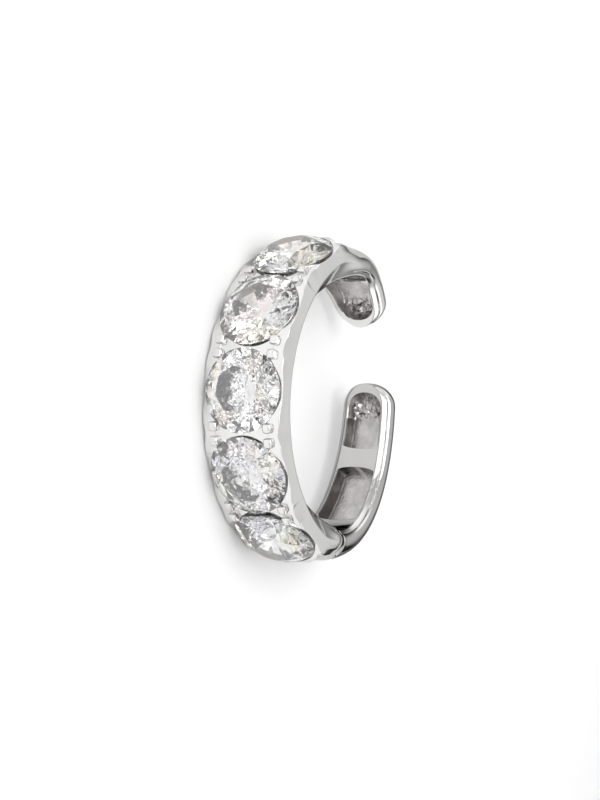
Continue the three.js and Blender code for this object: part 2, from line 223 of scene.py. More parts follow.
def arm_half_width(angle):
    fixed = FIXED_ARM_WIDTH, FIXED_TIP_WIDTH, -FIXED_TIP
    hinged = HINGED_ARM_WIDTH, HINGED_TIP_WIDTH, HINGED_TIP
    root, tip, last = fixed if angle < 0 else hinged
    return mix(root, tip, smooth(abs(angle), front_end, last) ** 2) / 2


def outer_half_width(angle):
    return mix(front_half_width, arm_half_width(angle), arm_share(angle))


def inner_half_width(angle):
    steep = past_front(angle, STEEPEN_BEFORE, STEEPEN_AFTER)
    return outer_half_width(angle) - mix(SIDE_SLOPE, ARM_SIDE_SLOPE, steep)


def thickness(angle):
    return mix(front_thickness, ARM_THICKNESS, past_front(angle, DOME_BEFORE, DOME_AFTER))


def soften(corners, steps, softness):
    """Rounds each inner corner of a polyline with a short curve of steps + 1 points."""
    corners = [np.array(c, float) for c in corners]
    line = [corners[0]]
    for before, corner, after in zip(corners, corners[1:], corners[2:]):
        reach = [min(softness, 0.45 * np.linalg.norm(end - corner)) for end in (before, after)]
        start = corner + (before - corner) * reach[0] / np.linalg.norm(before - corner)
        stop = corner + (after - corner) * reach[1] / np.linalg.norm(after - corner)
        line += [bend(start, corner, stop, i / steps) for i in range(steps + 1)]
    return [*line, corners[-1]]


def bend(start, middle, end, t):
    """The point at share t of a curve that leans towards its middle point."""
    return (1 - t) ** 2 * start + 2 * t * (1 - t) * middle + t * t * end


def half_section(angle):
    """(height, side) pairs from the inner edge over the side to the outer middle."""
    dome_share = past_front(angle, DOME_BEFORE, DOME_AFTER)
    inner, outer = inner_half_width(angle), outer_half_width(angle)
    top = thickness(angle)
    foot = front_thickness - RIM_HEIGHT - SIDE_FLAT_HEIGHT
    dome_foot = DOME_SIDE_SHARE * top
    inner_edge = [(0, inner - BORE_FLAT), (0, inner - EDGE_BEVEL), (EDGE_BEVEL, inner)]
    foot_at = np.array([mix(foot, dome_foot, dome_share), outer])
    wall = soften([*inner_edge, foot_at], CORNER_STEPS, EDGE_SOFTNESS)[:-1]
    last = wall[-1]
    bowed = np.array([mix(last[0], foot_at[0], WALL_BOW), outer])
    middle = mix(mix(last, foot_at, 0.5), bowed, dome_share)
    wall += [bend(last, middle, foot_at, t) for t in WALL_SHARES]
    side = soften([
        mix(wall[-1], np.array([foot, outer]), 0.2),
        (foot, outer),
        (top - RIM_LEAN_HEIGHT, outer),
        (top - RIM_HEIGHT / 2, outer - RIM_LEAN),
        (top, outer - RIM_LEAN - RIM_WIDTH / 2),
        (top, outer * 0.8),
        (top, 0),
    ], CORNER_STEPS, EDGE_SOFTNESS)[1:]
    turns = np.linspace(0, math.pi / 2, len(side))
    dome = [(dome_foot + (top - dome_foot) * math.sin(t), outer * math.cos(t)) for t in turns]
    return [*wall, *(mix(np.array(s), np.array(d), dome_share) for s, d in zip(side, dome))]


def section(angle, width_share=1.0, height_share=1.0):
    half = half_section(angle)
    right = [place(angle, h * height_share, s * width_share) for h, s in half]
    left = [place(angle, h * height_share, -s * width_share) for h, s in half[-2::-1]]
    return right + left


def stretch(start, end, step=SECTION_STEP):
    steps = max(1, math.ceil(abs(end - start) / step))
    return [mix(start, end, i / steps) for i in range(steps + 1)]


def in_from_tip(tip, share):
    length = arm_half_width(tip) - ARM_SIDE_SLOPE
    return tip - math.copysign(angle_of(share * length, tip), tip)


def tip_sections(tip):
    """Sections that close to a rounded tip, listed from the tip inwards."""
    return [section(in_from_tip(tip, 1 - math.cos(turn)), math.sin(turn), math.sin(turn) ** TIP_FULLNESS)
            for turn in TIP_TURNS]


def seam_sections(seam, inwards):
    """Sections that soften the edge of a cut end, listed from the seam inwards."""
    return [section(seam + inwards * angle_of(reach, seam), 1 - drop, 1 - drop)
            for reach, drop in SEAM_EDGE]


# Meshes and boolean cuts
def new_object(name, mesh):
    obj = bpy.data.objects.new(name, mesh)
    bpy.context.scene.collection.objects.link(obj)
    return obj


def loft(rings, second=()):
    """A closed body through rings of as many points each. The quads in second get material 1."""
    points = np.concatenate(rings)
    rows = np.arange(len(points)).reshape(len(rings), -1).tolist()
    faces = []
    for row, above in zip(rows, rows[1:]):
        faces += zip(row, row[1:] + row[:1], above[1:] + above[:1], above)
    mesh = bpy.data.meshes.new("loft")
    mesh.from_pydata(points.tolist(), [], [*faces, rows[0][::-1], rows[-1]])
    for i in second:
        mesh.polygons[i].material_index = 1
    return outside_out(mesh)


def outside_out(mesh):
    bm = bmesh.new()
    bm.from_mesh(mesh)
    bmesh.ops.remove_doubles(bm, verts=bm.verts, dist=1e-5)
    bmesh.ops.recalc_face_normals(bm, faces=bm.faces)
    if bm.calc_volume(signed=True) < 0:
        bmesh.ops.reverse_faces(bm, faces=bm.faces)
    bm.to_mesh(mesh)
    bm.free()
    return mesh


def lathe(profile, matrix, sides=ROUND_SIDES):
    """A closed turned body from (radius, height) pairs, placed by a matrix."""
    bm = bmesh.new()
    turns = [2 * math.pi * i / sides for i in range(sides)]
    rings = []
    for radius, height in profile:
        spots = [(radius * math.cos(t), radius * math.sin(t), height) for t in (turns if radius else [0])]
        rings.append([bm.verts.new(spot) for spot in spots])
    for low, high in zip(rings, rings[1:]):
        for i in range(sides):
            j = (i + 1) % sides
            corners = [low[i % len(low)], low[j % len(low)], high[j % len(high)], high[i % len(high)]]
            unique = list(dict.fromkeys(corners))
            if len(unique) > 2:
                bm.faces.new(unique)
    for ring, flip in ((rings[0], True), (rings[-1], False)):
        if len(ring) > 1:
            bm.faces.new(ring[::-1] if flip else ring)
    bmesh.ops.transform(bm, matrix=matrix, verts=bm.verts)
    mesh = bpy.data.meshes.new("lathe")
    bm.to_mesh(mesh)
    bm.free()
    return outside_out(mesh)


def join(meshes):
    bm = bmesh.new()
    for mesh in meshes:
        bm.from_mesh(mesh)
    joined = bpy.data.meshes.new("joined")
    bm.to_mesh(joined)
    bm.free()
    return joined


def combine(mesh, cutter, operation):
    """A boolean of two meshes. Faces keep their own mesh's material."""
    target, tool = new_object("target", mesh), new_object("tool", cutter)
    boolean = target.modifiers.new("combine", "BOOLEAN")
    boolean.operation, boolean.object = operation, tool
    boolean.solver, boolean.material_mode = "MANIFOLD", "TRANSFER"
    graph = bpy.context.evaluated_depsgraph_get()
    graph.update()
    result = bpy.data.meshes.new_from_object(target.evaluated_get(graph))
    for obj in (target, tool):
        bpy.data.objects.remove(obj)
    if not result.polygons:
        raise RuntimeError("a boolean gave nothing: " + operation)
    return result


def carve(mesh, steps):
    """Booleans in turn. Each step has its operation, its meshes and the materials they bring."""
    for operation, tools, *materials in steps:
        mesh = combine(mesh, with_material(join(tools), *materials), operation)
    return mesh


def with_material(mesh, *materials):
    if mesh.materials:
        mesh.materials.clear()
    for material in materials:
        mesh.materials.append(material)
    return mesh


# Materials
def shader(name):
    material = bpy.data.materials.new(name)
    material.use_nodes = True
    tree = material.node_tree
    return material, tree, tree.nodes["Principled BSDF"]


def add(tree, kind, inputs=(), **settings):
    node = tree.nodes.new(kind)
    for key, value in settings.items():
        setattr(node, key, value)
    for key, value in dict(inputs).items():
        if isinstance(value, bpy.types.NodeSocket):
            tree.links.new(value, node.inputs[key])
        else:
            node.inputs[key].default_value = value
    return node


def ramp(tree, factor, stops):
    node = add(tree, "ShaderNodeValToRGB", {"Fac": factor})
    elements = node.color_ramp.elements
    while len(elements) < len(stops):
        elements.new(0.5)
    for element, (position, colour) in zip(elements, stops):
        element.position = position
        element.color = (*colour, 1.0)
    return node.outputs["Color"]


def remap(tree, value, low, high):
    node = add(tree, "ShaderNodeMapRange", {"Value": value, "To Min": low, "To Max": high})
    return node.outputs["Result"]


def fade(tree, value, start, end):
    node = add(tree, "ShaderNodeMapRange", {"Value": value, "From Min": start, "From Max": end},
               interpolation_type="SMOOTHSTEP")
    return node.outputs["Result"]


def grain(tree, scale, detail=2.0, roughness=0.5):
    """Noise that clings to the piece, with its scale in waves per millimetre."""
    coords = add(tree, "ShaderNodeTexCoord").outputs["Object"]
    node = add(tree, "ShaderNodeTexNoise", {
        "Vector": coords, "Scale": scale / MM, "Detail": detail, "Roughness": roughness})
    return node.outputs["Fac"]


def rough_normal(tree, bsdf, height, strength, distance, **under):
    bump = add(tree, "ShaderNodeBump", {
        "Height": height, "Strength": strength, "Distance": distance * MM, **under})
    tree.links.new(bump.outputs["Normal"], bsdf.inputs["Normal"])


def grey(level):
    return (level, level, level)


def polished_metal(name, light, dark, roughness, edge_tint=0.55):
    """White gold with a near-mirror polish, faint clouding and fine wear."""
    material, tree, bsdf = shader(name)
    clouds = grain(tree, 0.5, 3)
    tree.links.new(ramp(tree, clouds, [(0.3, dark), (0.7, light)]), bsdf.inputs["Base Color"])
    bsdf.inputs["Metallic"].default_value = 1.0
    bsdf.inputs["Specular Tint"].default_value = (edge_tint, edge_tint, edge_tint, 1)
    wear = grain(tree, 9, 4, 0.65)
    tree.links.new(remap(tree, wear, *roughness), bsdf.inputs["Roughness"])
    rounded = add(tree, "ShaderNodeBevel", {"Radius": 0.03 * MM}, samples=6).outputs["Normal"]
    rough_normal(tree, bsdf, grain(tree, 1.3, 2), 0.12, 0.02, Normal=rounded)
    return material


def cast_metal(name, light, dark, roughness):
    """The same alloy as it came from the mould, inside the pockets. Darker and lighter copies of it paint
    shade on the pockets' walls and light in the stone seats.
    """
    material, tree, bsdf = shader(name)
    clouds = grain(tree, 2.2, 4, 0.6)
    tree.links.new(ramp(tree, clouds, [(0.3, dark), (0.72, light)]), bsdf.inputs["Base Color"])
    bsdf.inputs["Metallic"].default_value = 1.0
    tree.links.new(remap(tree, grain(tree, 6, 4, 0.7), *roughness), bsdf.inputs["Roughness"])
    rough_normal(tree, bsdf, grain(tree, 9, 5, 0.7), 0.5, 0.03)
    return material


def diamond(name):
    """Clear, strongly refracting stone. Each facet carries its own faint tint, painted fire in place of the
    colours that light splits into.
    """
    material, tree, bsdf = shader(name)
    tint = add(tree, "ShaderNodeAttribute", attribute_name="tint").outputs["Color"]
    haze = ramp(tree, grain(tree, 1.5, 2), [(0.3, (0.93, 0.93, 0.95)), (0.7, (1, 1, 1))])
    both = add(tree, "ShaderNodeMix", data_type="RGBA", blend_type="MULTIPLY")
    both.inputs["Factor"].default_value = 1.0
    tree.links.new(tint, both.inputs["A"])
    tree.links.new(haze, both.inputs["B"])
    tree.links.new(both.outputs["Result"], bsdf.inputs["Base Color"])
    bsdf.inputs["Transmission Weight"].default_value = 0.95
    bsdf.inputs["IOR"].default_value = 2.42
    tree.links.new(remap(tree, grain(tree, 4, 2), 0.0, 0.012), bsdf.inputs["Roughness"])
    rough_normal(tree, bsdf, grain(tree, 2.6, 1), 0.24, 0.04)
    return material


# Each metal's lighter and darker shade, then its roughness from smooth to worn
band_gold = polished_metal("band_gold", (0.80, 0.797, 0.785), (0.75, 0.747, 0.735), (0.05, 0.1))
# Painted shade: the hinged arm is the same white gold as the band, made darker and with darker grazing edges
# so that it reads greyer
arm_gold_painted_shade = polished_metal("arm_gold_painted_shade", (0.62, 0.612, 0.606), (0.54, 0.532, 0.527), (0.05, 0.1), 0.15)
cast_gold = cast_metal("cast_gold", (0.66, 0.645, 0.64), (0.42, 0.405, 0.40), (0.08, 0.22))
# Painted shade: a near-black copy of the cast alloy for the smooth walls of the hinged arm's pockets,
# darkening the recesses
pocket_wall_painted_shade = cast_metal("pocket_wall_painted_shade", (0.2, 0.19, 0.185), (0.06, 0.055, 0.05), (0.15, 0.3))
# Painted light: a near-white, matte copy of the alloy in the stone seats, brighter than the band, which
# lightens the stones seen through them
seat_gold_painted_light = cast_metal("seat_gold_painted_light", (0.93, 0.925, 0.92), (0.86, 0.855, 0.85), (0.85, 1.0))
pin_gold = polished_metal("pin_gold", (0.86, 0.85, 0.84), (0.8, 0.79, 0.78), (0.1, 0.18))
stone_clear = diamond("stone_clear")


# Cutters
def stone_angle(i):
    return (i - (STONE_COUNT - 1) / 2) * stone_pitch


def gap_angles():
    return [(stone_angle(i - 1) + stone_angle(i)) / 2 for i in range(1, STONE_COUNT)]


def seat_room(angle):
    """The space of a stone with its fit, and a shaft above its table."""
    wide = STONE_RADIUS + SEAT_FIT
    foot = HALF_GIRDLE + SEAT_FIT
    wall = STONE_RADIUS / PAVILION_DEPTH * SEAT_FIT
    bottom = -foot - PAVILION_DEPTH - CULET_CLEARANCE
    neck = TABLE_RADIUS + SEAT_FIT
    shaft = foot + CROWN_HEIGHT
    profile = [(0, bottom), (wall, bottom), (wide, -foot), (wide, foot), (neck, shaft), (neck, shaft + 1),
               (0, shaft + 1)]
    return lathe(profile, stand(angle, girdle_height))


def back_hole(angle):
    """The open back of a seat, whose edge flares out at the bore."""
    hole, edge = BACK_HOLE_RADIUS, BACK_HOLE_RADIUS + BACK_HOLE_FLARE
    profile = [(0, -1), (edge + 0.96, -0.96), (edge, 0), (hole, BACK_HOLE_FLARE * 1.25),
               (hole, girdle_height), (0, girdle_height)]
    return lathe(profile, stand(angle, 0))


def across(radius, depth, offset, lean, angle, sides):
    """A cylinder at an offset from the girdle, leaning about the line along the band."""
    matrix = Matrix.Translation(Vector(offset)) @ Matrix.Rotation(lean, 4, "X")
    profile = [(0, -depth), (radius, -depth), (radius, depth), (0, depth)]
    return lathe(profile, stand(angle, girdle_height) @ matrix, sides)


def arc_radius(half_length, depth):
    return (half_length ** 2 + depth ** 2) / (2 * depth)


def scallops(angle):
    """The hollows in both side walls between two stones."""
    radius = arc_radius(SCALLOP_LENGTH / 2, SCALLOP_DEPTH)
    lean = math.atan(SCALLOP_DEPTH / SIDE_FLAT_HEIGHT)
    away = front_half_width - SCALLOP_DEPTH + radius / math.cos(lean)
    return [across(radius, SIDE_FLAT_HEIGHT, (0, side * away, RIM_HEIGHT), side * lean, angle, SCALLOP_SIDES)
            for side in (-1, 1)]


def dip(angle):
    """The dip in the top of both side walls beside a stone."""
    radius = arc_radius(STONE_RADIUS - 2 * BEAD_RADIUS, WALL_DIP)
    offset = (0, 0, RIM_HEIGHT - WALL_DIP + radius)
    return across(radius, front_half_width * 1.5, offset, math.pi / 2, angle, DIP_SIDES)


def bead(x, y, matrix):
    """A small upright prong, squarish with a tip that rounds over."""
    profile = [(0, BEAD_FOOT), (BEAD_RADIUS * BEAD_SPREAD, BEAD_FOOT), (BEAD_RADIUS, BEAD_TOP - BEAD_DOME)]
    for i in range(1, BEAD_DOME_STEPS):
        turn = i / BEAD_DOME_STEPS * math.pi / 2
        drop = BEAD_DOME * (1 - math.sin(turn) ** 0.9)
        profile.append((BEAD_RADIUS * math.cos(turn) ** 0.7, BEAD_TOP - drop))
    profile.append((0, BEAD_TOP))
    mesh = lathe(profile, Matrix(), BEAD_SIDES)
    for vertex in mesh.vertices:
        far = max(abs(vertex.co.x), abs(vertex.co.y))
        length = math.hypot(vertex.co.x, vertex.co.y)
        if length:
            vertex.co.xy *= mix(1, length / far, BEAD_SQUARENESS)
    mesh.transform(matrix @ Matrix.Translation(Vector((x, y, 0))))
    return mesh


def beads(angle):
    """The four prongs between two stones."""
    matrix = stand(angle, girdle_height)
    return [bead(end * BEAD_ALONG, side * BEAD_SIDE, matrix) for side in (-1, 1) for end in (-1, 1)]


def oblong(x, y, z):
    return [(-x, -y, z), (x, -y, z), (x, y, z), (-x, y, z)]


def placed_loft(rings, matrix=Matrix()):
    return loft([[np.array(matrix @ Vector(point)) for point in ring] for ring in rings])


def valley(angle):
    """The hollow between two stones, from which the prongs stand up."""
    return placed_loft([oblong(*VALLEY_FLOOR), oblong(*VALLEY_TOP)], stand(angle, girdle_height))


def collar(angle):
    """The raised rim around an end stone."""
    outer, top = STONE_RADIUS + COLLAR_WIDTH, COLLAR_TOP
    edge = COLLAR_WIDTH * COLLAR_EDGE
    profile = [(0, -COLLAR_ROOT), (outer, -COLLAR_ROOT), (outer, top - edge),
               (outer - edge * 0.3, top - edge * 0.3), (outer - edge, top), (0, top)]
    ring = lathe(profile, stand(angle, girdle_height))
    side = front_half_width - EDGE_SOFTNESS / 2
    slab = placed_loft([oblong(COLLAR_REACH, COLLAR_REACH, z) for z in (-side, side)])
    return combine(ring, slab, "INTERSECT")


def pocket_half_width(angle):
    return inner_half_width(angle) - EDGE_BEVEL - POCKET_RIM


def pocket_ring(angle, share):
    """(angle, height, side) points up one wall of a pocket, across its floor and down again."""
    width = pocket_half_width(angle) * share
    flare = POCKET_CHAMFER * min(1.0, share * 2)
    wall = [(h, width + (flare if h <= 0 else 0) - width * POCKET_DRAFT * max(0.0, h) / POCKET_DEPTH)
            for h in POCKET_WALL_HEIGHTS]
    low = width * (1 - POCKET_DRAFT)
    floor = [(POCKET_DEPTH, low * POCKET_FLOOR_EDGE * (1 - 2 * i / POCKET_FLOOR_CELLS))
             for i in range(POCKET_FLOOR_CELLS + 1)]
    return [(angle, h, s) for h, s in wall + floor + [(h, -s) for h, s in wall[::-1]]]


def pocket_end(angle, inwards, length):
    reach = pocket_half_width(angle) * length
    return [pocket_ring(angle + inwards * angle_of((1 - math.cos(turn)) * reach, angle), math.sin(turn))
            for turn in POCKET_END_TURNS]


def cast_share(share, reach):
    """How much of the cast grain shows at a share of the pocket's length."""
    near = [1 - smooth(at, r * CAST_FADE_FROM, r + CAST_FADE_PAST) if r else 0
            for at, r in zip((share, 1 - share), reach)]
    return max(near)


def pocket(root, tip, start, end, round_start, round_end, grain):
    """A pocket with rounded ends. Its floor and walls carry the cast grain near its ends. Where the walls of
    a pocket that runs forwards have no grain, they take the second material, which paints shade on them.
    """
    start, end = mix(root, tip, start), mix(root, tip, end)
    direction = 1 if end > start else -1
    start_root = start + direction * angle_of(pocket_half_width(start) * round_start, start)
    end_root = end - direction * angle_of(pocket_half_width(end) * round_end, end)
    middle = stretch(start_root, end_root, angle_of(POCKET_CELL, (start + end) / 2))
    rings = [*pocket_end(start, direction, round_start), *(pocket_ring(a, 1.0) for a in middle),
             *pocket_end(end, -direction, round_end)[::-1]]
    shaped, smooth_shaded_rows = [], []
    for i, points in enumerate(rings):
        rough = cast_share((points[0][0] - start) / (end - start), grain)
        if rough <= SMOOTH_WALL_BELOW and i < len(rings) - 1:
            smooth_shaded_rows.append(i)
        row = []
        for angle, height, side in points:
            wobble = noise.turbulence(Vector(place(angle, height, side)) / CAST_GRAIN, 3, False) - 0.5
            wobble *= rough * smooth(height, *CAST_HEIGHTS)
            row.append(place(angle, height + CAST_RELIEF * 2 * wobble, side * (1 - CAST_SQUEEZE * wobble)))
        shaped.append(row)
    if direction < 0:
        return loft(shaped[::-1])
    # Wall quads of rows without grain get material 1, the painted shade
    count, deep = len(rings[0]), len(POCKET_WALL_HEIGHTS)
    walls = [*range(deep), *range(count - deep - 1, count)]
    return loft(shaped, second=[i * count + j for i in smooth_shaded_rows for j in walls])


def hinge_height():
    return KNUCKLE_RADIUS + (thickness(hinge_angle) - 2 * KNUCKLE_RADIUS) * KNUCKLE_RISE


def hinge_barrel(radius, low, high):
    """A cylinder across the band on the hinge axis."""
    matrix = Matrix.Translation(Vector(place(hinge_angle, hinge_height(), (low + high) / 2)))
    half = (high - low) / 2
    return lathe([(0, -half), (radius, -half), (radius, half), (0, half)], matrix)


def hinge_sleeve():
    around = angle_of(KNUCKLE_RADIUS * 2, hinge_angle)
    return loft([section(a) for a in stretch(hinge_angle - around, hinge_angle + around)])


def knuckle(low, high):
    return combine(hinge_barrel(KNUCKLE_RADIUS, low, high), hinge_sleeve(), "INTERSECT")


def knuckle_room(low, high):
    return hinge_barrel(KNUCKLE_RADIUS + HINGE_CLEARANCE, low, high)


def pin_room(half):
    return hinge_barrel(PIN_RADIUS + HINGE_CLEARANCE, -half, half)


def shoulder_relief():
    """What is cut off the arm's shoulder so that it can swing out."""
    reach = 2 * front_thickness
    lean = reach * math.tan(OPENING_ANGLE)
    outline = [(-reach, -HINGE_CLEARANCE), (0, -HINGE_CLEARANCE), (lean, reach), (-reach, reach)]
    rings = [[(x, y, z) for x, z in outline] for y in (-RELIEF_HALF_WIDTH, RELIEF_HALF_WIDTH)]
    return placed_loft(rings, stand(hinge_angle, hinge_height()))


def front_metal():
    seam = hinge_angle - angle_of(SEAM_GAP / 2, hinge_angle)
    marks = [in_from_tip(FIXED_TIP, 1), -front_end, front_end, seam - angle_of(SEAM_EDGE_END, seam)]
    run = [a for i in range(3) for a in stretch(marks[i], marks[i + 1])[0 if i == 0 else 1:]]
    rings = [*tip_sections(FIXED_TIP), *(section(a) for a in run), *seam_sections(seam, -1)[::-1]]
    gaps = gap_angles()
    stones = [stone_angle(i) for i in range(STONE_COUNT)]
    inner = TONGUE_WIDTH / 2 + HINGE_CLEARANCE
    outer = inner + CHEEK_WIDTH
    return carve(with_material(loft(rings), band_gold), [
        ("UNION", [collar(stones[0]), collar(stones[-1])], band_gold),
        ("DIFFERENCE", [cut for a in gaps for cut in scallops(a)], band_gold),
        *(("DIFFERENCE", [dip(a)], band_gold) for a in stones),
        ("DIFFERENCE", [valley(a) for a in gaps], band_gold),
        ("UNION", [b for a in gaps for b in beads(a)], band_gold),
        # The seats take the painted-light copy of the alloy
        ("DIFFERENCE", [seat_room(a) for a in stones], seat_gold_painted_light),
        *(("DIFFERENCE", [back_hole(a)], seat_gold_painted_light) for a in stones),
        *(("DIFFERENCE", [pocket(-front_end, FIXED_TIP, **kind)], cast_gold) for kind in POCKETS["fixed"]),
        ("DIFFERENCE", [knuckle_room(-inner, inner)], band_gold),
        ("UNION", [knuckle(inner, outer)], band_gold),
        ("UNION", [knuckle(-outer, -inner)], band_gold),
        ("DIFFERENCE", [pin_room(outer - PIN_END_WALL + HINGE_CLEARANCE)], band_gold),
    ])


def arm_metal():
    seam = hinge_angle + angle_of(SEAM_GAP / 2, hinge_angle)
    run = stretch(seam + angle_of(SEAM_EDGE_END, seam), in_from_tip(HINGED_TIP, 1))
    rings = [*seam_sections(seam, 1), *(section(a) for a in run), *tip_sections(HINGED_TIP)[::-1]]
    inner = TONGUE_WIDTH / 2
    outer = inner + CHEEK_WIDTH + 2 * HINGE_CLEARANCE
    pockets = [pocket(hinge_angle, HINGED_TIP, **kind) for kind in POCKETS["hinged"]]
    # The arm's own metal is a darker copy of the band's, a painted shade
    return carve(with_material(loft(rings), arm_gold_painted_shade), [
        ("DIFFERENCE", [shoulder_relief()], arm_gold_painted_shade),
        ("DIFFERENCE", [knuckle_room(inner, outer)], arm_gold_painted_shade),
        ("DIFFERENCE", [knuckle_room(-outer, -inner)], arm_gold_painted_shade),
        ("UNION", [knuckle(-inner, inner)], arm_gold_painted_shade),
        # The pockets' smooth walls take the second material, a painted shade
        *(("DIFFERENCE", [cutter], cast_gold, pocket_wall_painted_shade) for cutter in pockets),
        ("DIFFERENCE", [pin_room(TONGUE_WIDTH)], arm_gold_painted_shade),
    ])


# Round brilliant: every facet is a flat cut through a fine round blank
def brilliant():
    eighth = math.pi / 4
    bezel_radius = mix(TABLE_RADIUS, STONE_RADIUS, BEZEL_SHARE)
    crown = CROWN_HEIGHT / (STONE_RADIUS - TABLE_RADIUS)
    bezel_height = HALF_GIRDLE + (STONE_RADIUS - bezel_radius * math.cos(eighth / 2)) * crown
    main_radius = STONE_RADIUS * MAIN_SHARE
    main_slope = PAVILION_DEPTH / STONE_RADIUS
    main_height = -HALF_GIRDLE - PAVILION_DEPTH + main_radius * math.cos(eighth / 2) * main_slope
    top = HALF_GIRDLE + CROWN_HEIGHT

    def ray(turn, radius, height):
        return Vector((radius * math.cos(turn), radius * math.sin(turn), height))

    cuts = [(ray(0, 0, top), ray(0, 1, top), ray(2, 1, top))]
    for i in range(8):
        turn, mid = i * eighth, (i + 0.5) * eighth
        edge = ray(turn + math.pi / 2, 1, 0)
        low = ray(turn, STONE_RADIUS, HALF_GIRDLE)
        cuts.append((low, low + edge, ray(turn, TABLE_RADIUS, top)))
        cuts.append((ray(turn, TABLE_RADIUS, top), ray(turn + eighth, TABLE_RADIUS, top),
                     ray(mid, bezel_radius, bezel_height)))
        under = ray(turn, STONE_RADIUS, -HALF_GIRDLE)
        cuts.append((under, under + edge, ray(0, 0, -HALF_GIRDLE - PAVILION_DEPTH)))
        for near in (turn, turn + eighth):
            cuts.append((ray(mid, bezel_radius, bezel_height), ray(near, STONE_RADIUS, HALF_GIRDLE),
                         ray(mid, STONE_RADIUS, HALF_GIRDLE)))
            cuts.append((ray(mid, main_radius, main_height), ray(near, STONE_RADIUS, -HALF_GIRDLE),
                         ray(mid, STONE_RADIUS, -HALF_GIRDLE)))
    bm = bmesh.new()
    bmesh.ops.create_cone(bm, cap_ends=True, segments=GIRDLE_SIDES, radius1=STONE_RADIUS,
                          radius2=STONE_RADIUS, depth=4)
    for a, b, c in cuts:
        normal = (b - a).cross(c - a).normalized()
        if normal.dot(a) < 0:
            normal.negate()
        geom = bm.verts[:] + bm.edges[:] + bm.faces[:]
        cut = bmesh.ops.bisect_plane(bm, geom=geom, dist=1e-6, plane_co=a, plane_no=normal,
                                     clear_outer=True)
        edges = [e for e in cut["geom_cut"] if isinstance(e, bmesh.types.BMEdge)]
        if edges:
            bmesh.ops.contextual_create(bm, geom=edges)
    bmesh.ops.dissolve_limit(bm, angle_limit=math.radians(0.3), verts=bm.verts, edges=bm.edges)
    bmesh.ops.recalc_face_normals(bm, faces=bm.faces)
    mesh = bpy.data.meshes.new("brilliant")
    bm.to_mesh(mesh)
    bm.free()
    return mesh


# Painted fire: gives each face one of the fire tints at random
def add_painted_fire(mesh, seed):
    tints = mesh.attributes.new("tint", "FLOAT_COLOR", "FACE")
    pick = np.random.default_rng(seed)
    rows = [(*PAINTED_FIRE[i], 1.0) for i in pick.integers(0, len(PAINTED_FIRE), len(mesh.polygons))]
    tints.data.foreach_set("color", np.array(rows).ravel())


def hand_over(mesh, name, body, node, sharp_degrees):
    """Turns a mesh in millimetres into a piece that rides on a body and stands for a node."""
    points = np.zeros(len(mesh.vertices) * 3)
    mesh.vertices.foreach_get("co", points)
    points = (points.reshape(-1, 3) + RING_CENTRE) * MM
    mesh.vertices.foreach_set("co", points.ravel())
    mesh.update()
    mesh.shade_smooth()
    mesh.set_sharp_from_angle(angle=math.radians(sharp_degrees))
    piece = new_object(name, mesh)
    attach(piece, body)
    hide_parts(node)


def build_pieces():
    hand_over(front_metal(), "band", "front", "front_band", METAL_SHARP)
    hand_over(arm_metal(), "arm", "arm", "hinged_arm", METAL_SHARP)
    cut = brilliant()
    for i in range(STONE_COUNT):
        mesh = cut.copy()
        mesh.transform(stand(stone_angle(i), girdle_height) @ Matrix.Rotation(STONE_TURN * i, 4, "Z"))
        add_painted_fire(with_material(mesh, stone_clear), i)
        hand_over(mesh, f"brilliant_{i + 1}", "front", f"stone_{i + 1}", STONE_SHARP)
    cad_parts["hinge_pin"].data.materials.clear()
    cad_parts["hinge_pin"].data.materials.append(pin_gold)


# Floor, light and camera
FLOOR_HALF = 600
FLOOR_DROP = 0.01


def make_floor():
    bm = bmesh.new()
    bmesh.ops.create_grid(bm, x_segments=8, y_segments=8, size=FLOOR_HALF * MM)
    mesh = bpy.data.meshes.new("floor")
    bm.to_mesh(mesh)
    bm.free()
    material, tree, bsdf = shader("floor_paper")
    paper = ramp(tree, grain(tree, 0.05, 2), [(0.35, grey(0.94)), (0.65, grey(0.96))])
    tree.links.new(paper, bsdf.inputs["Base Color"])
    bsdf.inputs["Roughness"].default_value = 0.9
    bsdf.inputs["Specular IOR Level"].default_value = 0.1
    floor = new_object("floor", with_material(mesh, material))
    floor.location.z = -FLOOR_DROP * MM


# Opposite corners of a dark board that stands behind, out of view, for the arm to mirror
BOARD = [(15.5, 47.2, 0), (35.5, 47.2, 21)]
# The share of its width and height over which it fades out at the sides and the top
BOARD_FADE = 0.3


def make_board():
    (left, back, foot), (right, _, top) = BOARD
    corners = [(left, back, foot), (right, back, foot), (right, back, top), (left, back, top)]
    mesh = bpy.data.meshes.new("board")
    mesh.from_pydata([Vector(corner) * MM for corner in corners], [], [(0, 1, 2, 3)])
    material, tree, bsdf = shader("board_paper")
    paper = ramp(tree, grain(tree, 0.3, 2), [(0.3, grey(0.02)), (0.7, grey(0.04))])
    tree.links.new(paper, bsdf.inputs["Base Color"])
    bsdf.inputs["Roughness"].default_value = 0.9
    spot = add(tree, "ShaderNodeTexCoord").outputs["Generated"]
    parts = add(tree, "ShaderNodeSeparateXYZ", {0: spot}).outputs
    cover = fade(tree, parts["X"], 0, BOARD_FADE)
    for side in "XZ":
        inside = fade(tree, parts[side], 1, 1 - BOARD_FADE)
        cover = add(tree, "ShaderNodeMath", {0: cover, 1: inside}, operation="MULTIPLY").outputs[0]
    tree.links.new(cover, bsdf.inputs["Alpha"])
    new_object("board", with_material(mesh, material))


